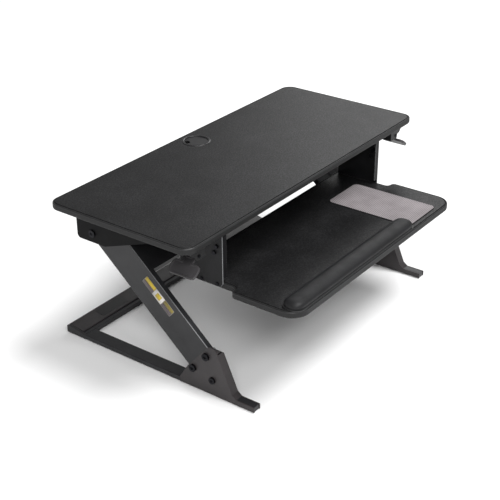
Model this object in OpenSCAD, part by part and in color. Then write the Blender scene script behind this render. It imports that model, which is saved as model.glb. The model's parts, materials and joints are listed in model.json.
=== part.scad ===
// Standing desk converter: a wide desktop with a keyboard tray hung below it,
// carried by a parallelogram of two pairs of arms on a low U-shaped base.
// Every Y in this file counts from the desktop's front edge, in the drawn position;
// at_desk() moves the whole model so that its origin is under the middle of its footprint.

/* [Desktop] */
// Width of the desktop
desk_w = 899; // [880:1:940]
// Depth of the desktop
desk_d = 388; // [380:1:395]
// Thickness of the board
desk_t = 15; // [14:0.5:18]
// Corner radius of the board
desk_r = 28; // [15:1:40]
// Height of the desktop's surface above the upper rear pivot
desk_rise = 96; // [94:0.5:100]
// Outer diameter of the cable grommet
grommet_d = 70; // [64:1:74]

/* [Keyboard tray] */
// Width of the tray's front part
tray_w = 668; // [650:1:680]
// Depth of the tray in front of the desktop's edge
tray_front = 183.5; // [170:0.5:195]
// Depth of the tray behind the desktop's edge
tray_back = 137; // [125:1:147]
// Thickness of the tray
tray_t = 15.5; // [14:0.5:15.5]
// Distance from the desktop's surface down to the tray's surface
tray_drop = 139.5; // [130:0.5:139.5]
// Depth of the wrist rest
rest_d = 50; // [40:1:55]
// Width of the wrist rest
rest_w = 480; // [420:5:480]

/* [Lift] */
// Pivot to pivot length of an arm
arm_l = 369; // [365:1:372]
// Angle of the arms above level in the drawn position
arm_angle = 41.4; // [41:0.1:42]
// Distance between the two arm pivots on each side
pivot_gap = 56.1; // [55:0.1:57]
// Depth of the arms' folded flanges
flange_w = 12; // [8:0.5:12]
// Radius of the gas spring's crank
crank_r = 45; // [42:1:46]
// Tilt of the gas spring
spring_tilt = 20; // [19:0.5:21]

/* [Base] */
// Width of the base
base_w = 738; // [736:1:742]
// Height of the side rails above the floor
rail_h = 14; // [13:0.5:15]
// Depth of the rear crossbar
bar_d = 59; // [55:1:62]
// Height of the rear crossbar at its back
bar_h = 23; // [20:0.5:25]
// Thickness of the rubber pads under the base
pad_t = 2; // [1.5:0.5:2]

/* [Hidden] */
$fn = 64;

// plan of the whole footprint: the tray's front edge to the back of the crossbar
bar_back = 450.5;
desk_y = (tray_front - bar_back) / 2;

toe_y = -100.5;
bar_front = bar_back - bar_d;
ledge = 10;

// sheet thicknesses and the layers of one arm, counted outwards from the middle
plate_t = 3;
gusset_out = base_w / 2;
gusset_in = gusset_out - 22;
cover_x = gusset_out - 6;
rail_in = gusset_out - 34.4;
sheet_t = 2.3;
front_web = gusset_out - plate_t - 0.4;
rear_web = front_web - sheet_t - 0.5;

// pivots as [Y, Z]: the two on the base, then the two on the desktop's brackets
base_rear = [64, 52.5];
gap_dir = [-sin(arm_angle), cos(arm_angle)];
base_front = base_rear + pivot_gap * gap_dir;
arm_dir = [cos(arm_angle), sin(arm_angle)];
top_rear = base_rear + arm_l * arm_dir;
top_front = base_front + arm_l * arm_dir;
gusset_fix = [10.9, 39.9];
gusset_top = [12.5, 106];
gusset_r = 16;
inner_top = 105.5;
bolt_r = 5;
fix_r = 4;
bush_r = 7;
run_gap = 0.05;

// outlines of the arms, counted from their own pivot axis
arm_back = 13;
arm_lap = 35;
arm_face = 16.6;
arm_end = 15;
sticker_at = [117.5, -21];
sticker_l = 98;
sticker_w = 23;
sticker_t = 0.3;

// heights
desk_z = top_rear[1] + desk_rise;
board_z = desk_z - desk_t;
tray_z = desk_z - tray_drop;

// cable grommet
grommet_y = 341;
grommet_hole_r = grommet_d / 2 - 5;
flange_t = 2.4;
ring_proud = 1.2;

// keyboard tray plan
neck_w = 625.4;
tray_step_y = -14;
tray_r = 42;
tray_back_r = 11;
tray_fillet = 10;
neck_r = 8;
tray_screw_y = [34, 76, 118];
hanger_screw_y = [34, 118];
side_bolts = [[34, board_z - 41], [40, board_z - 56.5]];
hanger_t = 3.3;
hanger_x = neck_w / 2;
hanger_front = 19;
hanger_back = 134;

// wrist rest and mouse pad on the tray
rest_x = -325;
rest_y = -181;
rest_base_t = 3;
rest_h = 19;
mouse_pad_t = 2;

// rails under the board
front_rail_y = 62;
front_rail_d = 30;
rear_rail_y = 358;
rear_rail_d = 20;
rail_drop = 10;
board_screw_x = [60, 190];

// gas spring: the crank pin hangs below the upper rear pivot, square to the spring
spring_dir = [cos(spring_tilt), -sin(spring_tilt)];
crank_at = top_rear + crank_r * [-sin(spring_tilt), -cos(spring_tilt)];
crank_pin_r = 4;
// the same pin in the arm's own frame
crank_local = [(crank_at - base_rear) * arm_dir, (crank_at - base_rear) * gap_dir];
cylinder_r = 10.5;
rod_r = 4;
yoke_l = 34;
rod_out = 62;
cylinder_l = 130;
valve_x = 12;
cylinder_end = -yoke_l - rod_out;
cylinder_start = cylinder_end - cylinder_l;
saddle_y = crank_at[0] + (cylinder_start + 6) * spring_dir[0];
brace_from = 220;
brace_to = 316;
brace_x = 14;

// release levers: a hinge along Y near each side edge, and a blade that slopes outwards below it
lever_x = 393;
lever_z = 353;
lever_y = 3;
lever_l = 69;
lever_slope = 37.5;
blade_from = 19;
blade_to = 51;
blade_drop = 2.4;
blade_t = 6;
barrel_r = 6;
barrel_l = 28;
lever_pin_r = 2.5;
mount_y = 18;
mount_l = 40;

// route of a release cable under the board, right side, as [X, Y, Z]
cable_r = 2;
cable_hole = [44, 362];
cable_route = [
    [371, 38, 357], [352, 39, 359], [334, 44, 362], [314, 44, 362], [296, 45, 362], [260, 52, 363],
    [220, 58, 363], [180, 62, 363], [140, 67, 362], [100, 76, 358], [70, 86, 352], [45, 96, 343],
    [28, 102, 337], [12, 103.6, 335]
];

steel = "#2b2c2f";
board_black = "#1d1d1f";
plastic = "#3a393b";
zinc = "#8d8f92";
rubber_black = "#151515";

module at_desk() {
    translate([0, desk_y, 0]) children();
}

// draws on the right side, or its mirror image on the left for side = -1
module sided(side) {
    if (side < 0) {
        mirror([1, 0, 0]) children();
    } else {
        children();
    }
}

// a flat shape drawn as (Y, Z), from x0 out to x1
module side_slab(x0, x1) {
    translate([x0, 0, 0]) rotate([90, 0, 90]) linear_extrude(x1 - x0) children();
}

// a cylinder along X through the point p = [Y, Z]
module x_rod(x0, x1, p, r) {
    translate([x0, p[0], p[1]]) rotate([0, 90, 0]) cylinder(h = x1 - x0, r = r);
}

// rectangle centred on X, with four equal round corners, from y0 to y1
module round_rect(w, y0, y1, r) {
    translate([-w / 2, y0 + r]) square([w, y1 - y0 - 2 * r]);
    translate([-w / 2 + r, y0]) square([w - 2 * r, y1 - y0]);
    for (x = [-w / 2 + r, w / 2 - r], y = [y0 + r, y1 - r]) translate([x, y]) circle(r);
}

// arm frame: +Y runs up the arm from its lower pivot, +Z points to its front face
module on_arm(pivot) {
    translate([0, pivot[0], pivot[1]]) rotate([arm_angle, 0, 0]) children();
}

// round-headed socket screw along X, head outwards from x, shank inwards
module x_bolt(x, p, shank_r, shank_l, head_r, head_h) {
    difference() {
        x_rod(x, x + head_h, p, head_r);
        x_rod(x + head_h / 2, x + head_h + 1, p, head_r * 0.45, $fn = 6);
    }
    x_rod(x - shank_l, x, p, shank_r);
}

// hexagon nut along X, with its thread's bore left the size of the bolt
module x_nut(x, p, r, h, bore_r) {
    difference() {
        translate([x, p[0], p[1]]) rotate([0, 90, 0]) cylinder(h = h, r = r, $fn = 6);
        x_rod(x - 1, x + h + 1, p, bore_r);
    }
}

/* ---- base ---- */

module rear_crossbar() {
    color(steel) at_desk() difference() {
        side_slab(-cover_x, cover_x) polygon([
            [bar_front, pad_t], [bar_front, rail_h], [bar_front + ledge, rail_h],
            [bar_front + ledge, rail_h - 2], [bar_back, rail_h - 2], [bar_back, pad_t]
        ]);
        side_slab(-cover_x + 60, cover_x - 60) polygon([
            [bar_front + 2, pad_t - 1], [bar_front + 2, rail_h - 4],
            [bar_back - 2, rail_h - 4], [bar_back - 2, pad_t - 1]
        ]);
    }
}

module crossbar_cover() {
    cover_front = bar_front + ledge + 1.2;
    color("#4a4647") at_desk() side_slab(-cover_x, cover_x) polygon([
        [cover_front, rail_h - 2], [cover_front, rail_h + 1], [cover_front + 3, rail_h + 3],
        [bar_back - 6, bar_h], [bar_back, bar_h - 4], [bar_back, rail_h - 2]
    ]);
}

module end_cap(side) {
    color(plastic) at_desk() sided(side) side_slab(cover_x, gusset_out) polygon([
        [bar_front, pad_t], [bar_front, rail_h], [bar_front + ledge, rail_h + 1],
        [bar_back - 6, bar_h], [bar_back, bar_h - 4], [bar_back, pad_t]
    ]);
}

// thin blank plate stuck to the cover's sloping top, near the left end
module blank_plate() {
    slope = atan2(bar_h - rail_h - 3, bar_d - ledge - 10.2);
    color("#101010") at_desk()
        translate([-285, bar_front + ledge + 4.2, rail_h + 3]) rotate([slope, 0, 0])
            translate([0, 5, 0]) cube([90, 27, 0.4]);
}

// hollow side rail: wide behind the gusset, and narrow between the gusset's plates
module side_rail(side) {
    narrow_in = gusset_in + plate_t;
    narrow_out = gusset_out - plate_t;
    wide_from = 102;
    wall = 2;
    color(steel) at_desk() sided(side) {
        difference() {
            translate([rail_in, wide_from, pad_t])
                cube([gusset_out - rail_in, bar_front - wide_from, rail_h - pad_t]);
            translate([rail_in + wall, wide_from + wall, pad_t + wall])
                cube([gusset_out - rail_in - 2 * wall, bar_front - wide_from, rail_h - pad_t - 2 * wall]);
        }
        translate([narrow_in, toe_y + 1, pad_t])
            cube([narrow_out - narrow_in, wide_from - toe_y - 1, rail_h - pad_t]);
    }
}

// outline of a gusset plate: a leaning triangle with a rounded top and a long toe
module gusset_outline() {
    polygon([
        [102, pad_t], [102, rail_h + 2], [79.5, 51.5], gusset_top + [13.4, 8.7],
        gusset_top, gusset_top + [-14.6, 6.6], [-42, 22], [-53, rail_h], [toe_y, rail_h], [toe_y, pad_t]
    ]);
    translate(gusset_top) circle(gusset_r);
}

// front flange of a gusset, seen from the side: it follows the leaning edge and wraps over the top
module gusset_flange() {
    polygon([[-4, 108], [-43.5, 22], [-54, rail_h], [-50, rail_h], [-40.5, 20.6], [-1, 106.6]]);
    difference() {
        polygon([for (a = [95, 125, 160]) gusset_top + 2 * gusset_r * [cos(a), sin(a)], gusset_top]);
        translate(gusset_top) circle(gusset_r - plate_t);
    }
}

// two plates joined by the front flange; the inner plate ends lower than the outer one
module gusset(side) {
    color("#343234") at_desk() sided(side) difference() {
        union() {
            side_slab(gusset_out - plate_t, gusset_out) gusset_outline();
            side_slab(gusset_in, gusset_in + plate_t) gusset_outline();
            side_slab(gusset_in, gusset_out) intersection() {
                gusset_outline();
                gusset_flange();
            }
        }
        translate([0, 60, 0]) rotate([90, 0, 0]) linear_extrude(100) polygon([
            [gusset_in - 1, inner_top], [gusset_out - plate_t, inner_top + 14],
            [gusset_out - plate_t, 130], [gusset_in - 1, 130]
        ]);
        for (p = [base_rear, base_front]) x_rod(gusset_in - 1, gusset_out + 1, p, bolt_r);
        x_rod(gusset_in - 1, gusset_out + 1, gusset_fix, fix_r);
    }
}

module rubber_pads() {
    color(rubber_black) at_desk() for (side = [-1, 1]) sided(side) {
        for (y = [-96, 84, 230]) translate([gusset_in + 4, y, 0]) cube([14, 40, pad_t]);
        translate([gusset_in - 30, bar_back - 16, 0]) cube([44, 14, pad_t]);
    }
}

module lower_pivot_bolts() {
    color("#26272a") at_desk() for (side = [-1, 1]) sided(side)
        for (p = [base_rear, base_front]) x_bolt(gusset_out, p, bolt_r, 31, 9, 5);
}

module gusset_bolts() {
    color("#26272a") at_desk() for (side = [-1, 1]) sided(side) x_bolt(gusset_out, gusset_fix, fix_r, 31, 8, 4.5);
}

module lower_nuts() {
    color(zinc) at_desk() for (side = [-1, 1]) sided(side) {
        for (p = [base_rear, base_front]) x_nut(gusset_in - 7, p, 9.5, 7, bolt_r);
        x_nut(gusset_in - 6, gusset_fix, 8, 6, fix_r);
    }
}

/* ---- arms ---- */

// flat web of one arm, from n0 to n1 across and round at both ends
module web_outline(n0, n1) {
    corner = 12;
    difference() {
        union() {
            translate([-arm_end, n0 + corner]) square([arm_l + 2 * arm_end, n1 - n0 - 2 * corner]);
            translate([-arm_end + corner, n0]) square([arm_l + 2 * arm_end - 2 * corner, n1 - n0]);
            for (u = [-arm_end + corner, arm_l + arm_end - corner], n = [n0 + corner, n1 - corner])
                translate([u, n]) circle(corner);
        }
        for (u = [0, arm_l]) translate([u, 0]) circle(bush_r);
    }
}

module rear_arm(side) {
    color(steel) at_desk() sided(side) on_arm(base_rear) {
        side_slab(rear_web - sheet_t, rear_web) web_outline(-arm_back, arm_lap);
        translate([rear_web - flange_w, 4, -arm_back])
            cube([flange_w - sheet_t + 0.01, arm_l + 4, sheet_t]);
    }
}

module front_arm(side) {
    color(steel) at_desk() sided(side) on_arm(base_front) {
        side_slab(front_web - sheet_t, front_web) web_outline(-arm_lap, arm_face);
        translate([front_web - flange_w - 2, 4, arm_face - sheet_t])
            cube([flange_w + 2 - sheet_t + 0.01, arm_l + 4, sheet_t]);
    }
}

// flanged bush that turns on a bolt of radius bolt_r
module bush(x0, x1, u) {
    difference() {
        x_rod(x0, x1, [u, 0], bush_r);
        x_rod(x0 - 1, x1 + 1, [u, 0], bolt_r + run_gap);
    }
}

module rear_arm_bushes() {
    color("#d8d4c8") at_desk() for (side = [-1, 1]) sided(side) on_arm(base_rear)
        for (u = [0, arm_l]) bush(rear_web - 6, rear_web + 0.2, u);
}

module front_arm_bushes(side) {
    color("#d8d4c8") at_desk() sided(side) on_arm(base_front)
        for (u = [0, arm_l]) bush(front_web - sheet_t - 0.2, front_web + 0.1, u);
}

// half of the brace between the rear arms: a channel with an upright lug at its inner end
module brace(side) {
    face = 66;
    sheet = 2.5;
    foot = 22;
    outer = front_web - flange_w - 2.6;
    lug_out = brace_x + 4;
    color(steel) at_desk() sided(side) on_arm(base_rear) {
        // face of the channel
        translate([lug_out, brace_from, face - sheet]) cube([outer - lug_out, brace_to - brace_from, sheet]);
        // its two walls, with feet that reach the rear arm
        for (u = [brace_from, brace_to - sheet]) {
            translate([lug_out, u, foot]) cube([outer - lug_out, sheet, face - sheet - foot]);
            translate([outer, u, foot]) cube([rear_web - sheet_t - outer, sheet, arm_lap - foot - 1]);
        }
        // lug that reaches back to the crank pin
        difference() {
            side_slab(brace_x, lug_out) {
                polygon([[brace_from, foot], [brace_from, face], [brace_to, face], [brace_to + 6, foot],
                         crank_local + [10.5, 0], crank_local + [-9, -5], [brace_from + 46, foot - 24]]);
                translate(crank_local) circle(10.5);
            }
            x_rod(brace_x - 1, lug_out + 1, crank_local, crank_pin_r);
        }
    }
}

module crank_pin() {
    color(zinc) at_desk() {
        x_rod(-brace_x - 7, brace_x + 4, crank_at, crank_pin_r);
        x_rod(brace_x + 4, brace_x + 7, crank_at, crank_pin_r + 2.5);
    }
}

// generic striped sticker on the outer face of the left front arm
module arm_sticker() {
    color("#c9c4a0") at_desk() sided(-1) on_arm(base_front)
        translate([front_web, sticker_at[0], sticker_at[1]]) cube([sticker_t, sticker_l, sticker_w]);
}

/* ---- desktop ---- */

module desktop() {
    color(board_black) at_desk() difference() {
        translate([0, 0, board_z]) linear_extrude(desk_t) round_rect(desk_w, 0, desk_d, desk_r);
        translate([0, grommet_y, board_z - 1]) cylinder(h = desk_t + 2, r = grommet_hole_r);
        translate([0, grommet_y, desk_z - flange_t + ring_proud])
            cylinder(h = flange_t + 1, r = grommet_d / 2 + 0.3);
    }
}

module grommet_ring() {
    bore = grommet_hole_r - 4;
    color("#202022") at_desk() translate([0, grommet_y, 0]) difference() {
        union() {
            translate([0, 0, desk_z - flange_t + ring_proud]) cylinder(h = flange_t, r = grommet_d / 2);
            translate([0, 0, board_z]) cylinder(h = desk_t, r = grommet_hole_r - 0.2);
        }
        translate([0, 0, board_z - 1]) cylinder(h = desk_t + 5, r = bore);
        translate([0, 0, desk_z - 3]) cylinder(h = 10, r = bore + 2.5);
    }
}

// turning cap with a mouth for cables at its back left edge
module grommet_cap() {
    cap_r = grommet_hole_r - 4 + 2.5 - 0.3;
    notch_r = 9;
    color("#1b1b1d") at_desk() translate([0, grommet_y, desk_z - 2.7]) difference() {
        union() {
            cylinder(h = 3.2, r = cap_r);
            translate([0, 0, -6]) difference() {
                cylinder(h = 6.01, r = grommet_hole_r - 4.3);
                translate([0, 0, -1]) cylinder(h = 8, r = grommet_hole_r - 6.5);
            }
        }
        rotate([0, 0, 140]) translate([cap_r - 4, 0, -10]) cylinder(h = 20, r = notch_r);
        rotate([0, 0, 140]) translate([cap_r - 4, -notch_r, -10]) cube([20, 2 * notch_r, 20]);
    }
}

// side plate with its flange under the board; it carries the two upper pivots,
// and its lower edge rises towards the front
module top_bracket(side) {
    back = 387;
    front = 140;
    low = top_rear[1] - 22;
    fold_r = 10;
    color(steel) at_desk() sided(side) difference() {
        union() {
            side_slab(gusset_out - plate_t, gusset_out) {
                polygon([
                    [back, board_z], [back, low + fold_r], [back - fold_r, low], [305, low],
                    [front + 12, low + 56], [front, low + 70], [front, board_z]
                ]);
                translate([back - fold_r, low + fold_r]) circle(fold_r);
            }
            translate([gusset_out - 44, front, board_z - plate_t]) cube([44, back - front, plate_t]);
        }
        for (p = [top_rear, top_front]) x_rod(gusset_out - plate_t - 1, gusset_out + 1, p, bolt_r);
    }
}

module upper_pivot_bolts() {
    color("#26272a") at_desk() for (side = [-1, 1]) sided(side) {
        x_bolt(gusset_out, top_rear, bolt_r, 20, 9, 3);
        x_bolt(gusset_out, top_front, bolt_r, 14, 9, 3);
    }
}

module upper_nuts() {
    color(zinc) at_desk() for (side = [-1, 1]) sided(side) {
        x_nut(gusset_out - 20, top_rear, 9, 7, bolt_r);
        x_nut(gusset_out - 14, top_front, 9, 5, bolt_r);
    }
}

// shallow hat-shaped rails that stiffen the board
module cross_rail(y, w, d, h) {
    wall = 2;
    color(steel) at_desk() difference() {
        translate([-w / 2, y, board_z - h]) cube([w, d, h]);
        translate([-w / 2 - 1, y + wall, board_z - h + wall]) cube([w + 2, d - 2 * wall, h]);
        for (side = [-1, 1], x = board_screw_x) translate([side * x, y + d / 2, board_z - h - 1])
            cylinder(h = wall + 2, r = 2);
    }
}

module hanger(side) {
    low = tray_z - 10;
    color(steel) at_desk() sided(side) difference() {
        union() {
            side_slab(hanger_x, hanger_x + hanger_t) polygon([
                [hanger_front, board_z], [hanger_front, low + 8], [hanger_front + 6, low],
                [hanger_back - 8, low], [hanger_back, low + 8], [hanger_back, board_z]
            ]);
            translate([hanger_x, hanger_front, board_z - plate_t])
                cube([26, hanger_back - hanger_front, plate_t]);
            translate([hanger_x - 12, hanger_front, tray_z + 9]) cube([12.01, 2.5, board_z - tray_z - 9]);
        }
        for (y = tray_screw_y) x_rod(hanger_x - 1, hanger_x + hanger_t + 1, [y, tray_z - 5.5], 2);
        for (y = hanger_screw_y) translate([hanger_x + 14, y, board_z - plate_t - 1])
            cylinder(h = plate_t + 2, r = 2);
        for (p = side_bolts) x_rod(hanger_x - 1, hanger_x + hanger_t + 1, p, 3);
        x_rod(hanger_x - 1, hanger_x + hanger_t + 1, cable_hole, cable_r + 1);
    }
}

// countersunk-style board screws, each a head below a plate and a shank up into it
module up_screw(x, y, z, grip) {
    translate([x, y, z - 2.2]) cylinder(h = 2.2, r = 4.2);
    translate([x, y, z]) cylinder(h = grip, r = 2);
}

module board_screws() {
    color(zinc) at_desk() for (side = [-1, 1]) sided(side) {
        for (x = board_screw_x) {
            up_screw(x, front_rail_y + front_rail_d / 2, board_z - rail_drop, rail_drop);
            up_screw(x, rear_rail_y + rear_rail_d / 2, board_z - rail_drop, rail_drop);
        }
    }
}

module hanger_screws() {
    color(zinc) at_desk() for (side = [-1, 1]) sided(side) {
        for (y = hanger_screw_y) up_screw(hanger_x + 14, y, board_z - plate_t, plate_t);
        for (p = side_bolts) {
            x_rod(hanger_x - 4, hanger_x, p, 5.5);
            x_rod(hanger_x, hanger_x + hanger_t, p, 3);
            x_rod(hanger_x + hanger_t, hanger_x + hanger_t + 4, p, 5);
        }
    }
}

module tray_screws() {
    color(zinc) at_desk() for (side = [-1, 1]) sided(side) for (y = tray_screw_y) {
        x_rod(hanger_x - 10, hanger_x + hanger_t, [y, tray_z - 5.5], 2);
        x_rod(hanger_x + hanger_t, hanger_x + hanger_t + 2.5, [y, tray_z - 5.5], 4.2);
    }
}

/* ---- tray ---- */

module keyboard_tray() {
    color(board_black) at_desk() difference() {
        translate([0, 0, tray_z - tray_t]) linear_extrude(tray_t) {
            intersection() {
                round_rect(tray_w, -tray_front, 0, tray_r);
                translate([-tray_w / 2, -tray_front]) square([tray_w, tray_front / 2 + tray_back_r + 5]);
            }
            round_rect(tray_w, -tray_front / 2, tray_step_y, tray_back_r);
            round_rect(neck_w, -60, tray_back, neck_r);
            for (side = [0, 1]) mirror([side, 0]) translate([neck_w / 2 - 1, tray_step_y - 1]) difference() {
                square(tray_fillet + 1);
                translate([tray_fillet + 1, tray_fillet + 1]) circle(tray_fillet);
            }
        }
        for (side = [-1, 1]) sided(side) for (y = tray_screw_y)
            x_rod(hanger_x - 10, hanger_x + 1, [y, tray_z - 5.5], 2);
    }
}

module wrist_rest_base() {
    color("#101011") at_desk() translate([rest_x + rest_w / 2, 0, tray_z]) linear_extrude(rest_base_t)
        round_rect(rest_w, rest_y, rest_y + rest_d, 18);
}

// crowned pad: a flattened bar with round ends
module wrist_rest_pad() {
    crown_r = 34;
    color("#19191a") at_desk() translate([rest_x + rest_w / 2, rest_y + rest_d / 2, tray_z + rest_base_t])
        intersection() {
            linear_extrude(rest_h - rest_base_t) round_rect(rest_w - 3, -rest_d / 2 + 1, rest_d / 2 - 1, 18);
            translate([-rest_w / 2, 0, rest_h - rest_base_t - crown_r]) rotate([0, 90, 0])
                cylinder(h = rest_w, r = crown_r);
        }
}

module mouse_pad() {
    color("#9b9597") at_desk() translate([0, 0, tray_z]) linear_extrude(mouse_pad_t) difference() {
        translate([210, 0]) round_rect(126, -168, 57, 12);
        translate([rest_x + rest_w / 2, 0]) round_rect(rest_w + 1.2, rest_y - 0.6, rest_y + rest_d + 0.6, 18.6);
    }
}

/* ---- gas spring ---- */

// spring frame: +Y runs down the rod towards the crank pin, which is its origin
module on_spring() {
    translate([0, crank_at[0], crank_at[1]]) rotate([-spring_tilt, 0, 0]) children();
}

module y_rod(y0, y1, r) {
    translate([0, y0, 0]) rotate([-90, 0, 0]) cylinder(h = y1 - y0, r = r);
}

module spring_cylinder() {
    color("#1f2022") at_desk() on_spring() difference() {
        y_rod(cylinder_start, cylinder_end, cylinder_r);
        y_rod(cylinder_start + 12, cylinder_end - 6, cylinder_r - 2);
        y_rod(cylinder_end - 7, cylinder_end + 1, rod_r + run_gap);
    }
}

module spring_rod() {
    color("#b9bcc0") at_desk() on_spring() y_rod(-yoke_l - rod_out - 60, -yoke_l + 10, rod_r);
}

// slotted end of the rod: the slot runs square to the rod, so the crank pin can ride in it
module rod_yoke() {
    slot_up = 12;
    slot_down = 1;
    half = 6;
    pin_room = crank_pin_r + 1;
    rim = pin_room + 4;
    color(zinc) at_desk() on_spring() difference() {
        union() {
            translate([-half, -12, -rim - slot_down]) cube([2 * half, 12 + rim, 2 * rim + slot_up + slot_down]);
            y_rod(-yoke_l, -11, 8);
        }
        translate([-half - 1, -pin_room, -slot_down]) cube([2 * half + 2, 2 * pin_room, slot_up + slot_down]);
        x_rod(-half - 1, half + 1, [0, -slot_down], pin_room);
        x_rod(-half - 1, half + 1, [0, slot_up], pin_room);
        y_rod(-yoke_l - 1, -yoke_l + 10, rod_r);
    }
}

// saddle that hangs the spring's closed end from the board
module spring_bracket() {
    color(steel) at_desk() {
        difference() {
            union() {
                on_spring() translate([-16, cylinder_start + 8, -16]) cube([32, 26, 30]);
                translate([-16, saddle_y + 6, crank_at[1] + 76]) cube([32, 22, board_z - crank_at[1] - 76]);
                translate([-34, saddle_y + 2, board_z - plate_t]) cube([68, 30, plate_t]);
            }
            on_spring() y_rod(cylinder_start - 20, cylinder_end, cylinder_r);
        }
    }
}

module valve_head() {
    color(plastic) at_desk() on_spring() {
        translate([-valve_x, cylinder_start - 18, -11]) cube([2 * valve_x, 18, 22]);
        translate([0, cylinder_start - 18, 3]) rotate([90, 0, 0]) cylinder(h = 3, r = 6);
    }
}

/* ---- release levers ---- */

// paddle: a barrel on the hinge, a stem and a broad blade with round corners
module lever(side) {
    barrel_y = mount_y + (mount_l - barrel_l) / 2;
    color(plastic) at_desk() sided(side) translate([lever_x, 0, lever_z]) difference() {
        union() {
            translate([0, barrel_y, 0]) rotate([-90, 0, 0]) cylinder(h = barrel_l, r = barrel_r);
            rotate([0, lever_slope, 0]) translate([0, 0, -blade_drop - blade_t]) linear_extrude(blade_t) {
                translate([0, barrel_y + 0.5]) square([blade_from + 4, barrel_l - 1]);
                translate([(blade_from + blade_to) / 2, 0])
                    round_rect(blade_to - blade_from, lever_y, lever_y + lever_l, 10);
            }
        }
        translate([0, barrel_y - 1, 0]) rotate([-90, 0, 0])
            cylinder(h = barrel_l + 2, r = lever_pin_r + run_gap);
    }
}

// mount: a block under the board whose two cheeks hold the hinge pin
module lever_mount(side) {
    cheek = 5;
    color(plastic) at_desk() sided(side) difference() {
        translate([lever_x, mount_y + mount_l, 0]) rotate([90, 0, 0]) linear_extrude(mount_l) polygon([
            [-22, board_z], [-22, lever_z - 9], [7, lever_z - 9], [9, lever_z + 1],
            [19, lever_z + 4], [25, lever_z + 11], [26, board_z]
        ]);
        translate([lever_x - barrel_r - 2, mount_y + cheek, lever_z - 12])
            cube([40, mount_l - 2 * cheek, 20 + barrel_r]);
        translate([lever_x, mount_y - 1, lever_z]) rotate([-90, 0, 0])
            cylinder(h = mount_l + 2, r = lever_pin_r);
    }
}

module lever_pin(side) {
    color(zinc) at_desk() sided(side) translate([lever_x, mount_y, lever_z]) {
        translate([0, -2, 0]) rotate([-90, 0, 0]) cylinder(h = mount_l + 4, r = lever_pin_r);
        rotate([90, 0, 0]) cylinder(h = 1.5, r = lever_pin_r + 1.5);
    }
}

function unit(v) = v / norm(v);

function route_dir(p, i) = unit(p[min(i + 1, len(p) - 1)] - p[max(i - 1, 0)]);

// round tube swept along the points p
module sweep(p, r, sides) {
    n = len(p);
    rings = [for (i = [0:n - 1], k = [0:sides - 1])
        let (d = route_dir(p, i), a = unit(cross(d, [0, 0, 1])), b = cross(a, d))
        p[i] + r * (cos(360 * k / sides) * a + sin(360 * k / sides) * b)];
    walls = [for (i = [0:n - 2], k = [0:sides - 1])
        let (j = (k + 1) % sides)
        [i * sides + k, (i + 1) * sides + k, (i + 1) * sides + j, i * sides + j]];
    first = [for (k = [0:sides - 1]) k];
    last = [for (k = [sides - 1:-1:0]) (n - 1) * sides + k];
    polyhedron(points = rings, faces = concat(walls, [first], [last]));
}

module release_cable(side) {
    color("#0e0e0e") at_desk() sided(side) sweep(cable_route, cable_r, 8);
}

rear_crossbar();
crossbar_cover();
end_cap(-1);  // left_end_cap
end_cap(1);  // right_end_cap
blank_plate();
side_rail(-1);  // left_side_rail
side_rail(1);  // right_side_rail
gusset(-1);  // left_gusset
gusset(1);  // right_gusset
rubber_pads();
lower_pivot_bolts();
gusset_bolts();
lower_nuts();
rear_arm(-1);  // left_rear_arm
rear_arm(1);  // right_rear_arm
rear_arm_bushes();
brace(-1);  // left_brace
brace(1);  // right_brace
crank_pin();
front_arm(-1);  // left_front_arm
front_arm_bushes(-1);  // left_front_bushes
arm_sticker();
front_arm(1);  // right_front_arm
front_arm_bushes(1);  // right_front_bushes
desktop();
grommet_ring();
grommet_cap();
top_bracket(-1);  // left_top_bracket
top_bracket(1);  // right_top_bracket
upper_pivot_bolts();
upper_nuts();
cross_rail(front_rail_y, 2 * hanger_x - 4, front_rail_d, rail_drop);  // front_cross_rail
cross_rail(rear_rail_y, 2 * gusset_out - 90, rear_rail_d, rail_drop);  // rear_cross_rail
hanger(-1);  // left_hanger
hanger(1);  // right_hanger
board_screws();
hanger_screws();
tray_screws();
keyboard_tray();
wrist_rest_base();
wrist_rest_pad();
mouse_pad();
spring_bracket();
spring_cylinder();
valve_head();
spring_rod();
rod_yoke();
lever_mount(-1);  // left_lever_mount
lever_mount(1);  // right_lever_mount
lever_pin(-1);  // left_lever_pin
lever_pin(1);  // right_lever_pin
lever(-1);  // left_lever
lever(1);  // right_lever
release_cable(-1);  // left_cable
release_cable(1);  // right_cable
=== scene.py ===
import json
import math

import bmesh
import bpy
from mathutils import Euler, Matrix, Vector


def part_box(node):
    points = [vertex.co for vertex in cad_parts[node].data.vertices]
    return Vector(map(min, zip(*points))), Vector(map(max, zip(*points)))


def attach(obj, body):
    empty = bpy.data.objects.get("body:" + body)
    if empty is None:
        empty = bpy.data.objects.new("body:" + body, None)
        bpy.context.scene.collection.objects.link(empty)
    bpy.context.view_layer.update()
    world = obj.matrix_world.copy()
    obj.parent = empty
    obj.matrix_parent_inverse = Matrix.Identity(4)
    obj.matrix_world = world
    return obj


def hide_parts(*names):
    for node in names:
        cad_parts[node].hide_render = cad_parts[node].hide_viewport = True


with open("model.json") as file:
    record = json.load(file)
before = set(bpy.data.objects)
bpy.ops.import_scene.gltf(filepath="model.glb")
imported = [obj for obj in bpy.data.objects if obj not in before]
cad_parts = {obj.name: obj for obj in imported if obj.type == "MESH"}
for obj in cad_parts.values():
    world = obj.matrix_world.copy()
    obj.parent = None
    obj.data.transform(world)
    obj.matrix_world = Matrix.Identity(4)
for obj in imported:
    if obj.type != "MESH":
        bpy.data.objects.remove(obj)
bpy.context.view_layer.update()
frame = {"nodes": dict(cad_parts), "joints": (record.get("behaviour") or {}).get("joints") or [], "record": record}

nodes = frame["nodes"]
mm = 0.001


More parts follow.
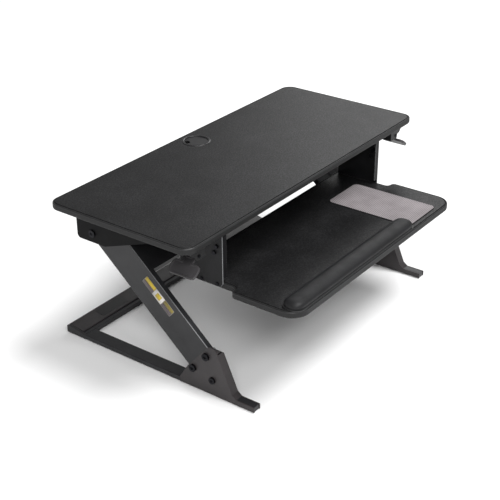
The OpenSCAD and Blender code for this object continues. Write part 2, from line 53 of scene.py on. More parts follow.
def linear(hexColour):
    # sRGB hex to the linear values that Blender's sockets take
    parts = [int(hexColour[i:i + 2], 16) / 255 for i in (1, 3, 5)]
    return [p / 12.92 if p <= 0.04045 else ((p + 0.055) / 1.055) ** 2.4 for p in parts] + [1]


def addNode(tree, kind, values=None, links=None, stops=None, **settings):
    # kind is Blender's name without ShaderNode. Values and links go to the inputs, where a linked node gives
    # its first output. Settings go to the node itself, and stops, each a place with a value or a hex colour,
    # to a colour ramp
    node = tree.nodes.new("ShaderNode" + kind)
    for key, value in settings.items():
        setattr(node, key, value)
    for socket, value in (values or {}).items():
        node.inputs[socket].default_value = value
    for socket, source in (links or {}).items():
        output = source.outputs[0] if isinstance(source, bpy.types.Node) else source
        tree.links.new(output, node.inputs[socket])
    if stops:
        points = node.color_ramp.elements
        while len(points) < len(stops):
            points.new(0.5)
        for point, (position, value) in zip(points, stops):
            point.position = position
            point.color = linear(value) if isinstance(value, str) else (value, value, value, 1)
    return node


def startMaterial(name):
    material = bpy.data.materials.new(name)
    material.use_nodes = True
    material.node_tree.nodes.clear()
    place = addNode(material.node_tree, "TexCoord").outputs["Object"]
    return material, material.node_tree, place


def closeMaterial(tree, values, links):
    # the shader, with its constants on its own sockets, and the output
    shader = addNode(tree, "BsdfPrincipled", values, links)
    addNode(tree, "OutputMaterial", links={"Surface": shader})


# materials: a pattern's scale is 1000 over the size of its grain in millimetres

def laminateBlack():
    # melamine board, black, with a fine pebble emboss: small soft speckles that catch the light
    material, tree, place = startMaterial("melamineLaminateBlack")
    pebble = addNode(tree, "TexNoise", {"Scale": 1000 / 2.8}, {"Vector": place})
    cloud = addNode(tree, "TexNoise", {"Scale": 1000 / 60}, {"Vector": place})
    tone = addNode(tree, "Mix", {"Factor": 0.25}, {"A": pebble, "B": cloud})
    colour = addNode(tree, "ValToRGB", links={"Fac": tone},
                     stops=[(0.32, "#09090a"), (0.5, "#131314"), (0.68, "#2a2a2b")])
    gloss = addNode(tree, "ValToRGB", links={"Fac": pebble}, stops=[(0.3, 0.56), (0.7, 0.42)])
    relief = addNode(tree, "Bump", {"Distance": 0.22 * mm, "Strength": 0.8}, {"Height": pebble})
    closeMaterial(tree, {"IOR": 1.5, "Specular IOR Level": 0.3},
                  {"Base Color": colour, "Roughness": gloss, "Normal": relief})
    return material


def powderCoat(name, dark, light, roughness, shine=0.35):
    # polyester powder coat on steel: satin, with a faint orange-peel ripple
    material, tree, place = startMaterial(name)
    peel = addNode(tree, "TexNoise", {"Scale": 1000 / 1.8}, {"Vector": place})
    cloud = addNode(tree, "TexNoise", {"Scale": 1000 / 35, "Detail": 3}, {"Vector": place})
    colour = addNode(tree, "ValToRGB", links={"Fac": cloud}, stops=[(0.3, dark), (0.7, light)])
    gloss = addNode(tree, "ValToRGB", links={"Fac": peel},
                    stops=[(0.3, roughness + 0.06), (0.7, roughness - 0.04)])
    relief = addNode(tree, "Bump", {"Distance": 0.05 * mm, "Strength": 0.5}, {"Height": peel})
    closeMaterial(tree, {"IOR": 1.5, "Specular IOR Level": shine},
                  {"Base Color": colour, "Roughness": gloss, "Normal": relief})
    return material


def mouldedPlastic(name, dark, light, roughness, textureSize=0.9, textureDepth=0.06):
    # a moulding with a spark-eroded texture: matt, slightly lighter where the texture stands up
    material, tree, place = startMaterial(name)
    texture = addNode(tree, "TexNoise", {"Scale": 1000 / textureSize, "Roughness": 0.6}, {"Vector": place})
    cloud = addNode(tree, "TexNoise", {"Scale": 1000 / 25}, {"Vector": place})
    tone = addNode(tree, "Mix", {"Factor": 0.5}, {"A": texture, "B": cloud})
    colour = addNode(tree, "ValToRGB", links={"Fac": tone}, stops=[(0.35, dark), (0.65, light)])
    gloss = addNode(tree, "ValToRGB", links={"Fac": texture},
                    stops=[(0.3, roughness + 0.05), (0.7, roughness - 0.05)])
    relief = addNode(tree, "Bump", {"Distance": textureDepth * mm, "Strength": 0.5}, {"Height": texture})
    closeMaterial(tree, {"IOR": 1.53, "Specular IOR Level": 0.4},
                  {"Base Color": colour, "Roughness": gloss, "Normal": relief})
    return material


def turnedMetal(name, dark, light, roughness):
    # plated or blackened steel with fine machining lines, about 1 mm apart and eight times as long
    material, tree, place = startMaterial(name)
    stretched = addNode(tree, "Mapping", {"Scale": (0.12, 1, 1)}, {"Vector": place})
    lines = addNode(tree, "TexNoise", {"Scale": 1000 / 1, "Detail": 3, "Roughness": 0.7},
                    {"Vector": stretched})
    cloud = addNode(tree, "TexNoise", {"Scale": 1000 / 12}, {"Vector": place})
    colour = addNode(tree, "ValToRGB", links={"Fac": cloud}, stops=[(0.3, dark), (0.7, light)])
    gloss = addNode(tree, "ValToRGB", links={"Fac": lines},
                    stops=[(0.3, roughness + 0.08), (0.7, roughness - 0.05)])
    relief = addNode(tree, "Bump", {"Distance": 0.02 * mm, "Strength": 0.4}, {"Height": lines})
    closeMaterial(tree, {"Metallic": 1.0}, {"Base Color": colour, "Roughness": gloss, "Normal": relief})
    return material


def gelCover():
    # polyurethane leatherette over gel: satin, with a very fine calf grain and soft broad dents
    material, tree, place = startMaterial("leatheretteSatinBlack")
    cells = addNode(tree, "TexVoronoi", {"Scale": 1000 / 1.4}, {"Vector": place}, feature="DISTANCE_TO_EDGE")
    calf = addNode(tree, "ValToRGB", links={"Fac": cells}, stops=[(0.0, 0.0), (0.18, 1.0)])
    dents = addNode(tree, "TexNoise", {"Scale": 1000 / 30}, {"Vector": place})
    colour = addNode(tree, "ValToRGB", links={"Fac": dents}, stops=[(0.3, "#141415"), (0.7, "#1b1b1d")])
    gloss = addNode(tree, "ValToRGB", links={"Fac": dents}, stops=[(0.3, 0.56), (0.7, 0.48)])
    height = addNode(tree, "Mix", {"Factor": 0.6}, {"A": calf, "B": dents})
    relief = addNode(tree, "Bump", {"Distance": 0.08 * mm, "Strength": 0.35}, {"Height": height})
    closeMaterial(tree, {"IOR": 1.48, "Specular IOR Level": 0.3},
                  {"Base Color": colour, "Roughness": gloss, "Normal": relief})
    return material


# mm between stripes, their slant in degrees, and the metres between a wave's bands at scale 1
padPrint = {"stripe": 3.95, "turn": 38, "bandsAtOne": 0.31416}


def padCloth():
    # polyester knit on rubber, light grey, printed with slanting stripes: they are drawn wider than the fine
    # stripes that such a print has, so that they show
    material, tree, place = startMaterial("polyesterClothGrey")
    turned = addNode(tree, "Mapping", {"Rotation": (0, 0, math.radians(padPrint["turn"]))}, {"Vector": place})
    bandScale = padPrint["bandsAtOne"] / (padPrint["stripe"] * mm)
    bands = addNode(tree, "TexWave", {"Scale": bandScale, "Distortion": 0.6, "Detail": 1}, {"Vector": turned})
    thread = addNode(tree, "TexNoise", {"Scale": 1000 / 0.8}, {"Vector": place})
    cloud = addNode(tree, "TexNoise", {"Scale": 1000 / 40, "Detail": 3}, {"Vector": place})
    knit = addNode(tree, "Mix", {"Factor": 0.25}, {"A": bands.outputs["Fac"], "B": thread})
    tone = addNode(tree, "Mix", {"Factor": 0.35}, {"A": knit, "B": cloud})
    colour = addNode(tree, "ValToRGB", links={"Fac": tone}, stops=[(0.25, "#564f52"), (0.75, "#a49d9f")])
    gloss = addNode(tree, "ValToRGB", links={"Fac": thread}, stops=[(0.3, 0.85), (0.7, 0.72)])
    relief = addNode(tree, "Bump", {"Distance": 0.08 * mm, "Strength": 0.5}, {"Height": knit})
    closeMaterial(tree, {"IOR": 1.45, "Sheen Weight": 0.25, "Sheen Roughness": 0.5},
                  {"Base Color": colour, "Roughness": gloss, "Normal": relief})
    return material


def chromeRod():
    # hard chrome, ground and polished: bright, with the faintest haze
    material, tree, place = startMaterial("hardChromePolished")
    haze = addNode(tree, "TexNoise", {"Scale": 1000 / 4, "Detail": 3}, {"Vector": place})
    colour = addNode(tree, "ValToRGB", links={"Fac": haze}, stops=[(0.3, "#b9bbbe"), (0.7, "#c8cacc")])
    gloss = addNode(tree, "ValToRGB", links={"Fac": haze}, stops=[(0.3, 0.09), (0.7, 0.16)])
    closeMaterial(tree, {"Metallic": 1.0}, {"Base Color": colour, "Roughness": gloss})
    return material


def film(name, dark, light):
    # printed polyester film: smooth satin, a little uneven in its ink
    material, tree, place = startMaterial(name)
    ink = addNode(tree, "TexNoise", {"Scale": 1000 / 1.5, "Detail": 3, "Roughness": 0.7}, {"Vector": place})
    colour = addNode(tree, "ValToRGB", links={"Fac": ink}, stops=[(0.35, dark), (0.65, light)])
    gloss = addNode(tree, "ValToRGB", links={"Fac": ink}, stops=[(0.3, 0.38), (0.7, 0.30)])
    closeMaterial(tree, {"IOR": 1.5}, {"Base Color": colour, "Roughness": gloss})
    return material


def paperFloor():
    # matt paper sweep: even and almost white, so that only the shadow shows on it
    material, tree, place = startMaterial("paperFloor")
    cloud = addNode(tree, "TexNoise", {"Scale": 1000 / 400}, {"Vector": place})
    colour = addNode(tree, "ValToRGB", links={"Fac": cloud}, stops=[(0.3, "#f9f9f9"), (0.7, "#fcfcfc")])
    closeMaterial(tree, {"Roughness": 0.95}, {"Base Color": colour})
    return material


finish = {
    # the boards: speckled faces, a groove inside the rim made near-black with painted shade, a band that shines
    # along its rounded top and is duller and darkened with painted shade down its upright face and lower edge
    "laminate": laminateBlack(),
    # the groove's near-black colour is painted shade in the recess
    "groove": mouldedPlastic("edgeGroovePaintedShade", "#020202", "#050505", 0.75),
    "edgeBand": mouldedPlastic("pvcEdgeBand", "#19191a", "#242425", 0.36, 1.4, 0.03),
    # the lower band's darker colour is painted shade
    "edgeUnder": mouldedPlastic("edgeUnderPaintedShade", "#070708", "#0d0d0e", 0.62),
    # powder-coated steel: satin black arms and rails, more matt top brackets and hangers darkened with painted
    # shade, warm charcoal gussets and bar cover, a glossy spring tube, and bends with a painted highlight line
    "steel": powderCoat("powderCoatBlack", "#1d1d1f", "#262628", 0.38),
    # top brackets and hangers: their darker colours are painted shade from the desktop above them
    "bracket": powderCoat("powderCoatMattPaintedShade", "#0c0c0d", "#131314", 0.62, 0.12),
    "hanger": powderCoat("powderCoatHangerPaintedShade", "#121213", "#19191b", 0.52, 0.22),
    "gusset": powderCoat("powderCoatCharcoal", "#2c292a", "#353132", 0.44),
    "cover": powderCoat("powderCoatCover", "#292728", "#333031", 0.44),
    "springTube": powderCoat("springEnamel", "#121213", "#18181a", 0.22),
    # the bend's light colour is a painted highlight along the fold
    "bend": powderCoat("powderCoatPaintedHighlight", "#7a7b7d", "#8c8d8f", 0.28, 0.7),
    # ABS mouldings: matt caps and mounts, a satin grommet cap in a shinier ring, and lighter charcoal levers
    "plastic": mouldedPlastic("absBlack", "#19191a", "#222223", 0.50),
    "cap": mouldedPlastic("absCap", "#19191a", "#222223", 0.40),
    "ring": mouldedPlastic("absRing", "#1c1c1d", "#262627", 0.26),
    "lever": mouldedPlastic("absCharcoal", "#2f2e2f", "#3b393b", 0.46),
    # soft PVC sheath, dull rubber that takes no highlight, and creamy natural nylon
    "sheath": mouldedPlastic("pvcSheath", "#0e0e0f", "#161617", 0.40, 1.6, 0.02),
    "rubber": mouldedPlastic("rubberPad", "#101010", "#181818", 0.80, 1.2, 0.10),
    "nylon": mouldedPlastic("nylonNatural", "#c9c5b8", "#d9d5c9", 0.45, 1.5, 0.02),
    # bare metals: dark blue-black bolts, pale grey zinc, blackened pins and a mirror-bright rod
    "bolt": turnedMetal("blackOxideSteel", "#1d1d20", "#2a2a2d", 0.42),
    "zinc": turnedMetal("zincPlatedSteel", "#9a9da1", "#b4b6b9", 0.34),
    "pin": turnedMetal("zincPassivatedBlack", "#232426", "#313235", 0.45),
    "chrome": chromeRod(),
    # what lies on the tray: a soft satin roll and a striped grey cloth
    "gel": gelCover(),
    "cloth": padCloth(),
    # printed films: a black plate, and the sticker's pale border and its flat inks
    "filmBlank": film("filmBlank", "#08080a", "#0e0e10"),
    "filmEdge": film("filmEdge", "#77736f", "#8b8782"),
    "filmGrey": film("filmGrey", "#3b3536", "#6a6064"),
    "filmYellow": film("filmYellow", "#a8901c", "#cdb32c"),
    "filmOlive": film("filmOlive", "#6d6228", "#8f8038"),
    "filmWhite": film("filmWhite", "#c9c5bf", "#dedbd6"),
}
print("materials", len(finish))


# camera, floor and lights

view = {"place": (-1.92662, -1.38611, 1.42826), "turn": 53.32, "tilt": -28.1, "roll": -0.36, "lens": 80.87}
studio = {"floorReach": 14, "world": 0.30, "sun": 2.4, "sunSpread": 24, "sunTurn": 150, "sunHeight": 66}
softBoxes = {
    "farRight": {"place": (2.6, 0.9, 1.75), "aim": (0.35, -0.05, 0.35), "energy": 17,
                 "size": 1.5, "size_y": 1.1},
    "nearLeft": {"place": (-2.2, -1.5, 2.3), "aim": (-0.4, -0.1, 0.05), "energy": 44,
                 "size": 1.2, "size_y": 1.0},
    "overCamera": {"place": (-1.2, -2.3, 2.5), "aim": (-0.1, -0.1, 0.2), "energy": 22,
                   "size": 0.7, "size_y": 0.5},
}


def addObject(name, data):
    added = bpy.data.objects.new(name, data)
    bpy.context.scene.collection.objects.link(added)
    return added


def makeCamera():
    data = bpy.data.cameras.new("camera")
    data.lens = view["lens"]
    camera = addObject("camera", data)
    turn, tilt, roll = (math.radians(view[k]) for k in ("turn", "tilt", "roll"))
    facing = Euler((math.pi / 2 + tilt, 0, -turn)).to_matrix() @ Matrix.Rotation(roll, 3, "Z")
    camera.matrix_world = Matrix.Translation(view["place"]) @ facing.to_4x4()
    bpy.context.scene.camera = camera


def addLight(name, kind, place, aim, energy, **settings):
    data = bpy.data.lights.new(name, kind)
    data.energy = energy
    for key, value in settings.items():
        setattr(data, key, value)
    light = addObject(name, data)
    light.location = place
    light.rotation_euler = (Vector(aim) - Vector(place)).to_track_quat("-Z", "Y").to_euler()


def makeStage():
    reach = studio["floorReach"]
    mesh = bpy.data.meshes.new("floor")
    mesh.from_pydata([(-reach, -reach, 0), (reach, -reach, 0), (reach, reach, 0), (-reach, reach, 0)], [],
                     [(0, 1, 2, 3)])
    mesh.materials.append(paperFloor())
    addObject("floor", mesh)
    world = bpy.data.worlds.new("studio")
    world.use_nodes = True
    background = world.node_tree.nodes["Background"]
    background.inputs["Color"].default_value = linear("#ffffff")
    background.inputs["Strength"].default_value = studio["world"]
    bpy.context.scene.world = world


makeCamera()
makeStage()
sunTurn, sunHeight = math.radians(studio["sunTurn"]), math.radians(studio["sunHeight"])
sunFrom = (math.sin(sunTurn) * math.cos(sunHeight), math.cos(sunTurn) * math.cos(sunHeight),
           math.sin(sunHeight))
addLight("overheadSun", "SUN", sunFrom, (0, 0, 0), studio["sun"], angle=math.radians(studio["sunSpread"]))
for name, box in softBoxes.items():
    addLight(name, "AREA", shape="RECTANGLE", **box)
bpy.context.scene.view_settings.view_transform = "Standard"
print("camera, floor and lights")


# making pieces

def modify(piece, kind, **settings):
    modifier = piece.modifiers.new(kind.lower(), kind)
    for key, value in settings.items():
        setattr(modifier, key, value)
    return modifier


def bodyOf(node):
    return next(b for b, members in frame["record"]["behaviour"]["bodies"].items() if node in members)


def standFor(piece, node):
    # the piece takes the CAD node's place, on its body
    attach(piece, bodyOf(node))
    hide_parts(node)


def finishPiece(form, node, *materials):
    # the bmesh becomes a piece that stands for one CAD node
    mesh = bpy.data.meshes.new(node + "Finished")
    for face in form.faces:
        face.smooth = True
    form.to_mesh(mesh)
    form.free()
    for material in materials:
        mesh.materials.append(material)
    piece = addObject(node + "Finished", mesh)
    standFor(piece, node)
    return piece


def copyOf(node):
    # a clean bmesh of a CAD node: merged, its flat faces whole again, without the stored normals
    mesh = nodes[node].data.copy()
    for name in ("custom_normal", "sharp_edge", "sharp_face"):
        if name in mesh.attributes:
            mesh.attributes.remove(mesh.attributes[name])
    form = bmesh.new()
    form.from_mesh(mesh)
    bpy.data.meshes.remove(mesh)
    bmesh.ops.remove_doubles(form, verts=form.verts, dist=0.01 * mm)
    bmesh.ops.dissolve_limit(form, angle_limit=math.radians(0.4), verts=form.verts, edges=form.edges)
    for face in form.faces:
        face.material_index = 0
    return form


sharpFrom = 28   # degrees between two faces, from which their edge is rounded


def softened(node, *materials, edge=0.5, fold=0, isFold=None, steps=3, shape=None, brightRounds=False):
    # sharp edges of a CAD node are rounded: edge mm on cut edges, fold mm on the bends that isFold picks, but
    # less where small faces leave no room. A second material covers the faces that shape() numbers 1. With
    # brightRounds it covers the rounded strips instead, and these keep their full width
    form = copyOf(node)
    if shape:
        shape(form)
    weights = form.edges.layers.float.new("bevel_weight_edge")
    widest = max(edge, fold)
    for e in form.edges:
        if len(e.link_faces) == 2 and e.calc_face_angle(0) > math.radians(sharpFrom):
            bent = isFold and isFold(e)
            e[weights] = (fold if bent else edge) / widest
    piece = finishPiece(form, node, *materials)
    modify(piece, "BEVEL", width=widest * mm, segments=steps, limit_method="WEIGHT", harden_normals=True,
           miter_outer="MITER_ARC", use_clamp_overlap=not brightRounds, material=1 if brightRounds else -1)
    return piece


def middleOf(edge):
    return (edge.verts[0].co + edge.verts[1].co) / 2


# arm frame: how far a point lies up an arm, and towards its front face

pivots = {j["name"]: Vector(j["pos_m"]) for j in frame["joints"] if "pos_m" in j}
rearPivot, frontPivot = pivots["lift"], pivots["left_front_swing"]
towardsFront = (frontPivot - rearPivot).normalized()
upArm = Vector((0, towardsFront.z, -towardsFront.y))


# fasteners and hidden parts

plainNodes = {
    "zinc": ["lower_nuts", "upper_nuts", "board_screws", "crank_pin"],
    "pin": ["left_lever_pin", "right_lever_pin"],
    "nylon": ["rear_arm_bushes", "left_front_bushes", "right_front_bushes"],
    "chrome": ["spring_rod"],
    "rubber": ["rubber_pads"],
}
for key, names in plainNodes.items():
    for name in names:
        nodes[name].data.materials.clear()
        nodes[name].data.materials.append(finish[key])

for name in ("lower_pivot_bolts", "gusset_bolts", "upper_pivot_bolts", "hanger_screws", "tray_screws"):
    softened(name, finish["bolt"], edge=0.7)


# a release cable's route on the right side: mm across, behind the desktop's front edge, and above the ground
cableRoute = [(371, 38, 357), (352, 39, 359), (334, 44, 362), (314, 44, 362), (296, 45, 362), (260, 52, 363),
              (220, 58, 363), (180, 62, 363), (140, 67, 362), (100, 76, 358), (70, 86, 352), (45, 96, 343),
              (28, 102, 337), (12, 103.6, 335)]
cableRadius = 2


def makeCable(node, side):
    # a smooth curve from the lever's mount, through the hanger, to the gas spring's valve
    data = bpy.data.curves.new(node + "Finished", "CURVE")
    data.dimensions = "3D"
    data.bevel_depth = cableRadius * mm
    data.bevel_resolution = 3
    data.resolution_u = 6
    data.use_fill_caps = True
    spline = data.splines.new("BEZIER")
    spline.bezier_points.add(len(cableRoute) - 1)
    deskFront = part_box("desktop")[0][1]
    for point, (across, back, up) in zip(spline.bezier_points, cableRoute):
        point.co = (side * across * mm, deskFront + back * mm, up * mm)
        point.handle_left_type = point.handle_right_type = "AUTO"
    data.materials.append(finish["sheath"])
    piece = addObject(node + "Finished", data)
    bpy.context.view_layer.update()
    standFor(piece, node)


makeCable("left_cable", -1)
makeCable("right_cable", 1)
print("fasteners and cables")


# base

# rounding in mm, and where the bend is: near either side of the gusset, above its foot and at its front
gussetBend = {"edge": 0.5, "fold": 2.0, "near": 0.3, "above": 14.5, "front": -115}
gussetLow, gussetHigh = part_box("right_gusset")
gussetSides = (gussetLow[0], gussetHigh[0])


def onGussetBend(e):
    middle = middleOf(e)
    onSide = any(abs(abs(middle.x) - x) < gussetBend["near"] * mm for x in gussetSides)
    return onSide and middle.z > gussetBend["above"] * mm and middle.y < gussetBend["front"] * mm


for name in ("left_gusset", "right_gusset"):
    softened(name, finish["gusset"], edge=gussetBend["edge"], fold=gussetBend["fold"], isFold=onGussetBend)
for name in ("left_side_rail", "right_side_rail"):
    softened(name, finish["steel"], edge=1.6)
softened("rear_crossbar", finish["steel"], edge=1.0)
softened("crossbar_cover", finish["cover"], edge=1.2)
for name in ("left_end_cap", "right_end_cap"):
    softened(name, finish["plastic"], edge=1.2)
softened("blank_plate", finish["filmBlank"], edge=0.12, steps=1)
print("base")


# arms and brace

# rounding in mm, and where the bend is: a long edge, this far towards the arm's face and out from the middle
armBend = {"edge": 0.4, "fold": 2.0, "steps": 4, "length": 100, "toFace": 12.5, "outside": 362.4}


def onArmBend(pivot, side):
    # the long bend between an arm's web and its flange, on its front (1) or its back (-1)
    def test(e):
        middle = middleOf(e)
        long = abs((e.verts[1].co - e.verts[0].co).dot(upArm)) > armBend["length"] * mm
        toFace = (middle - pivot).dot(towardsFront) * side > armBend["toFace"] * mm
        return long and toFace and abs(middle.x) > armBend["outside"] * mm
    return test


def rolledBend(isBend):
    # the outer corner of the bend becomes a rolled strip in the light bend colour, a painted highlight
    def shape(form):
        bends = [e for e in form.edges if isBend(e) and e.calc_face_angle(0) > 1]
        strips = bmesh.ops.bevel(form, geom=bends, offset=armBend["fold"] * mm, segments=armBend["steps"],
                                 profile=0.5, affect="EDGES", clamp_overlap=False)
        for face in strips["faces"]:
            face.material_index = 1
    return shape


for side in ("left", "right"):
    for name, pivot, towards in (("_rear_arm", rearPivot, -1), ("_front_arm", frontPivot, 1)):
        arm = softened(side + name, finish["steel"], finish["bend"], edge=armBend["edge"],
                       shape=rolledBend(onArmBend(pivot, towards)))
        modify(arm, "WEIGHTED_NORMAL", weight=100, keep_sharp=True)
    softened(side + "_brace", finish["steel"], edge=0.6)
print("arms")


# boards

def topLoops(node):
    # outlines of a plate's flat top, the outer one first and counterclockwise, as lists of 2D points
    form = copyOf(node)
    top = max(v.co.z for v in form.verts)
    others = [f for f in form.faces if f.normal.z < 0.9 or f.calc_center_median().z < top - 0.01 * mm]
    bmesh.ops.delete(form, geom=others, context="FACES")
    edges = {e for e in form.edges if e.is_boundary}
    loops = []
    while edges:
        edge = min(edges, key=lambda e: e.index)
        edges.discard(edge)
        first, vert = edge.verts
        loop = [first.co.xy.copy()]
        while vert != first:
            loop.append(vert.co.xy.copy())
            edge = next(e for e in vert.link_edges if e in edges)
            edges.discard(edge)
            vert = edge.other_vert(vert)
        area = sum(a.cross(b) for a, b in zip(loop, loop[1:] + loop[:1])) / 2
        loops.append((abs(area), loop if area > 0 else loop[::-1]))
    form.free()
    return [loop for area, loop in sorted(loops, key=lambda item: -item[0])]


def insetLoop(loop, inset):
    # the outline moved inwards by inset metres, mitred at its corners
    moved = []
    for i, point in enumerate(loop):
        before = (point - loop[i - 1]).normalized()
        after = (loop[(i + 1) % len(loop)] - point).normalized()
        sides = Vector((-before.y - after.y, before.x + after.x))
        moved.append(point + sides * inset / (1 + before.dot(after)))
    return moved


def stackRings(form, rings, material=0):
    # walls between closed rings of equal length, given from the top down, facing outwards
    for upper, lower in zip(rings, rings[1:]):
        for i in range(len(upper)):
            j = (i + 1) % len(upper)
            face = form.faces.new((upper[i], lower[i], lower[j], upper[j]))
            face.material_index = material


def closeRings(form, rings, up, material=0):
    # a flat face bounded by one outer ring and any inner ones
    edges = []
    for ring in rings:
        edges += [form.edges.get((ring[i - 1], ring[i])) for i in range(len(ring))]
    faces = [f for f in bmesh.ops.triangle_fill(form, use_beauty=True, edges=edges)["geom"]
             if isinstance(f, bmesh.types.BMFace)]
    for face in faces:
        face.normal_update()
        face.material_index = material
        if (face.normal.z > 0) != up:
            face.normal_flip()


def board(node, top, rim, under, hole=None):
    # a plate whose rim is given in stretches of (finish, points): each runs on from the one before it, and a
    # point is (inset, depth below the top) in mm, from the flat top round the rim to the flat underside
    keys = list(dict.fromkeys([top] + [key for key, points in rim] + [under]))
    outline = topLoops(node)[0]
    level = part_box(node)[1][2]
    form = bmesh.new()

    def ring(points, depth):
        return [form.verts.new((p.x, p.y, level - depth * mm)) for p in points]

    rings, stretch = [], []
    for key, points in rim:
        for inset, depth in points:
            rings.append(ring(insetLoop(outline, inset * mm), depth))
            stretch.append(keys.index(key))
    for upper, lower, material in zip(rings, rings[1:], stretch[1:]):
        stackRings(form, [upper, lower], material)
    tops, bottoms = [rings[0]], [rings[-1]]
    if hole:
        turns = [2 * math.pi * i / hole["sides"] for i in range(hole["sides"])]
        steps = [ring([Vector(hole["centre"]) + r * mm * Vector((math.cos(t), -math.sin(t))) for t in turns],
                      depth) for r, depth in hole["steps"]]
        stackRings(form, steps)
        tops.append(steps[0])
        bottoms.append(steps[-1])
    closeRings(form, tops, True)
    closeRings(form, bottoms, False, keys.index(under))
    piece = finishPiece(form, node, *(finish[key] for key in keys))
    modify(piece, "WEIGHTED_NORMAL", weight=100, keep_sharp=True)
    return piece


def thickness(node):
    low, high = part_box(node)
    return (high[2] - low[2]) / mm


boardRim = {"easing": 0.9, "groove": 3.0, "grooveDepth": 2.2, "band": 2.8, "bandDrop": 0.35,
            "bottom": 3.6}   # mm


def rimProfile(thick):
    # a narrow groove round the top, a band rounded above and upright below, and a softer lower edge
    band, bottom, drop = boardRim["band"], boardRim["bottom"], boardRim["bandDrop"]
    inner, deep = band + boardRim["groove"], boardRim["grooveDepth"]
    upper = [math.pi / 2 * i / 6 for i in range(1, 7)]
    lower = [math.pi / 2 * i / 4 for i in range(5)]
    return [
        ("laminate", [(inner + boardRim["easing"], 0), (inner + 0.3, 0.12), (inner, 0.5)]),
        ("groove", [(inner - 0.3, deep), (band - 0.4, deep), (band, drop)]),
        ("edgeBand", [(band * (1 - math.sin(t)), drop + band * (1 - math.cos(t))) for t in upper]),
        ("edgeUnder", [(bottom * (1 - math.cos(t)), thick - bottom * (1 - math.sin(t))) for t in lower]),
    ]


ringLow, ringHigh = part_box("grommet_ring")
desktopThick = thickness("desktop")
grommet = {"centre": ((ringLow[0] + ringHigh[0]) / 2, (ringLow[1] + ringHigh[1]) / 2), "sides": 64,
           "steps": [(35.3, 0), (35.3, 1.2), (30, 1.2), (30, desktopThick)]}   # radius and depth, mm
for name, hole in (("desktop", grommet), ("keyboard_tray", None)):
    board(name, "laminate", rimProfile(thickness(name)), "laminate", hole=hole)


# radii and heights in mm: the flange lies just above the step in the desktop, and the ledge is inside it
grommetRim = {"outer": 35, "recess": 28.5, "bore": 26, "neck": 29.8, "rise": 1.5, "flange": -1.1, "ledge": -3,
              "sunk": 1.6, "steps": 8}


def makeGrommetRing():
    # turned about its axis: a convex rim stands over the desktop, with a ledge inside for the cap
    rim, top = grommetRim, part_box("desktop")[1][2]
    middle, half = (rim["outer"] + rim["recess"]) / 2, (rim["outer"] - rim["recess"]) / 2
    profile = [(rim["outer"], rim["flange"])]
    for i in range(rim["steps"] + 1):
        turn = math.pi * i / rim["steps"]
        profile.append((middle + half * math.cos(turn), rim["rise"] * math.sin(turn)))
    profile += [(rim["recess"], rim["ledge"]), (rim["bore"], rim["ledge"]), (rim["bore"], -desktopThick),
                (rim["neck"], -desktopThick), (rim["neck"], rim["flange"])]
    form = bmesh.new()
    rings = [[form.verts.new((grommet["centre"][0] + radius * mm * math.cos(turn),
                              grommet["centre"][1] + radius * mm * math.sin(turn), top + z * mm))
              for turn in (2 * math.pi * i / grommet["sides"] for i in range(grommet["sides"]))]
             for radius, z in profile]
    stackRings(form, rings + rings[:1])
    bmesh.ops.recalc_face_normals(form, faces=form.faces)
    for e in form.edges:
        e.smooth = e.calc_face_angle(0) < math.radians(50)
    finishPiece(form, "grommet_ring", finish["ring"])


def sinkCap(form):
    # the cap's plate lies a little below the rim
    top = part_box("grommet_cap")[1][2]
    for v in form.verts:
        if v.co.z > top - 0.1 * mm:
            v.co.z -= grommetRim["sunk"] * mm


makeGrommetRing()
softened("grommet_cap", finish["cap"], edge=0.5, shape=sinkCap)
print("boards")


# parts under the desktop

# rounding in mm, and where the bend is: a long upright edge, this far out from the middle and forward
hangerBend = {"edge": 0.4, "fold": 2.0, "length": 60, "outside": 315.5, "front": -110}


def onHangerBend(e):
    middle = middleOf(e)
    upright = abs(e.verts[1].co.z - e.verts[0].co.z) > hangerBend["length"] * mm
    return upright and abs(middle.x) > hangerBend["outside"] * mm and middle.y < hangerBend["front"] * mm


for side in ("left", "right"):
    # the hangers' rounded strips take the light bend colour: a painted highlight
    softened(side + "_hanger", finish["hanger"], finish["bend"], edge=hangerBend["edge"],
             fold=hangerBend["fold"], isFold=onHangerBend, brightRounds=True)
    softened(side + "_top_bracket", finish["bracket"], edge=0.5)
    softened(side + "_lever_mount", finish["plastic"], edge=1.0)
for name in ("front_cross_rail", "rear_cross_rail", "spring_bracket"):
    softened(name, finish["steel"], edge=0.5)
softened("spring_cylinder", finish["springTube"], edge=0.8)
softened("valve_head", finish["plastic"], edge=0.8)
softened("rod_yoke", finish["zinc"], edge=0.8)

leverDish = {"rim": 3.5, "slope": 0.8, "depth": 0.9}   # mm


def dishLever(form):
    # the blade's upper face is sunk inside a narrow rim
    broad = max((f for f in form.faces if f.normal.z > 0.5), key=lambda f: f.calc_area())
    bmesh.ops.inset_region(form, faces=[broad], thickness=leverDish["rim"] * mm, use_even_offset=True)
    bmesh.ops.inset_region(form, faces=[broad], thickness=leverDish["slope"] * mm,
                           depth=-leverDish["depth"] * mm, use_even_offset=True)


for side in ("left", "right"):
    softened(side + "_lever", finish["lever"], edge=1.5, steps=4, shape=dishLever)
print("under the desktop")


# wrist rest and mouse pad

restForm = {"stations": 34, "ribs": 16, "planRound": 20, "endRound": 15, "fullness": 2.35, "endFullness": 2.2,
            "band": 2.4, "shoulder": 0.8, "thinnest": 1.5, "crease": 1.0}


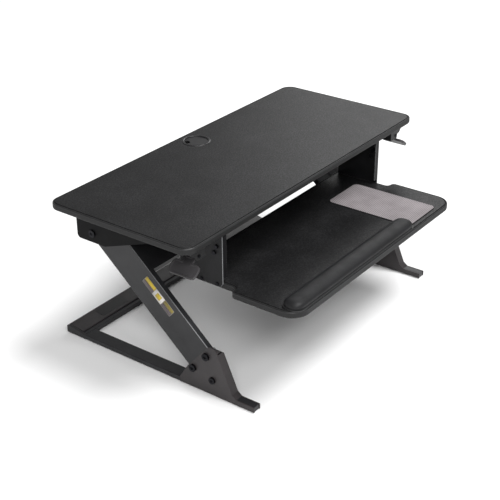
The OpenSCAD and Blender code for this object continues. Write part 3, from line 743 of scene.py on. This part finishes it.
def makeRest():
    # a gel roll in a stretched cover: flat below, crowned above, round at both ends, with a seam low down
    low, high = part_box("wrist_rest_pad")
    long, half, tall = ((high[0] - low[0]) / mm, (high[1] - low[1]) / 2 / mm, (high[2] - low[2]) / mm)
    centre = (low[1] + high[1]) / 2
    form = bmesh.new()
    count, ribs = restForm["stations"], restForm["ribs"]
    band, shoulder = restForm["band"], restForm["band"] + restForm["shoulder"]
    base = restForm["band"] + restForm["thinnest"]
    power, endPower = 2 / restForm["fullness"], restForm["endFullness"]
    rows = []
    for i in range(count + 1):
        along = long / 2 * (1 - math.cos(math.pi * i / count))
        near = min(along, long - along)
        planIn = max(0, 1 - near / restForm["planRound"])
        tallIn = max(0, 1 - near / restForm["endRound"])
        wide = half - restForm["planRound"] * (1 - math.sqrt(max(0, 1 - planIn ** 2)))
        crown = base + (tall - base) * (1 - tallIn ** endPower) ** (1 / endPower)
        section = [(wide - 0.9, 0), (wide - 0.3, 0.6), (wide - 0.3, band - 0.5),
                   (wide - 0.3 - restForm["crease"], band), (wide - 0.1, shoulder)]
        for k in range(1, ribs):
            turn = math.pi * k / ribs
            y = math.copysign(abs(math.cos(turn)) ** power, math.cos(turn)) * wide
            section.append((y, shoulder + (crown - shoulder) * math.sin(turn) ** power))
        section += [(-y, z) for y, z in reversed(section[:5])]
        rows.append([form.verts.new((low[0] + along * mm, centre - y * mm, low[2] + z * mm))
                     for y, z in section])
    for a, b in zip(rows, rows[1:]):
        for k in range(len(a)):
            form.faces.new((a[k], a[(k + 1) % len(a)], b[(k + 1) % len(a)], b[k]))
    form.faces.new(rows[0][::-1])
    form.faces.new(rows[-1])
    bmesh.ops.recalc_face_normals(form, faces=form.faces)
    piece = finishPiece(form, "wrist_rest_pad", finish["gel"])
    modify(piece, "SUBSURF", levels=1, render_levels=1)


makeRest()
softened("wrist_rest_base", finish["plastic"], edge=0.6)

padOutline = topLoops("mouse_pad")[0]
padRim = [("rubber", [(0.7, 0), (0.2, 0.15), (0, 0.6), (0, 1.8), (0.2, 2.0)])]
mousePad = board("mouse_pad", "cloth", padRim, "rubber")
print("wrist rest and mouse pad")


# sticker on the left front arm

# mm from the lower pivot, up the arm and towards its front edge
sticker = {"up": (117.5, 215.5), "across": (-21, 2), "corner": 1.2, "standsOut": 0.16, "inkFrom": 0.1}
stickerPatches = [
    # (from, to) up the arm, (from, to) across it, film, and how far its face stands out from the arm's
    ((118.5, 149.5), (-20, -9.5), "filmGrey", 0.22),
    ((118.5, 149.5), (-9.5, 1), "filmOlive", 0.22),
    ((150.5, 180.5), (-20, 1), "filmWhite", 0.22),
    ((158, 173), (-16.5, -2.5), "filmYellow", 0.26),
    ((181.5, 214.5), (-20, -9.5), "filmGrey", 0.22),
    ((181.5, 214.5), (-9.5, 1), "filmYellow", 0.22),
]


def makeSticker():
    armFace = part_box("arm_sticker")[1][0]
    form = bmesh.new()
    films = ["filmEdge"]

    def patch(up, across, inner, outer, material, corner=0.8):
        # a thin tile with clipped corners, from x = inner out to x = outer
        (u0, u1), (n0, n1), c = up, across, corner
        plan = [(u0 + c, n0), (u1 - c, n0), (u1, n0 + c), (u1, n1 - c),
                (u1 - c, n1), (u0 + c, n1), (u0, n1 - c), (u0, n0 + c)]
        tile = []
        for x in (outer, inner):
            tile.append([form.verts.new(Vector((x, frontPivot.y, frontPivot.z)) + upArm * u * mm
                                        + towardsFront * n * mm) for u, n in plan])
        stackRings(form, tile, material)
        for ring in (tile[0], tile[1][::-1]):
            form.faces.new(ring).material_index = material

    patch(sticker["up"], sticker["across"], armFace, armFace - sticker["standsOut"] * mm, 0,
          sticker["corner"])
    for up, across, key, standsOut in stickerPatches:
        if key not in films:
            films.append(key)
        patch(up, across, armFace - sticker["inkFrom"] * mm, armFace - standsOut * mm, films.index(key))
    bmesh.ops.recalc_face_normals(form, faces=form.faces)
    finishPiece(form, "arm_sticker", *(finish[key] for key in films))


makeSticker()
print("sticker")
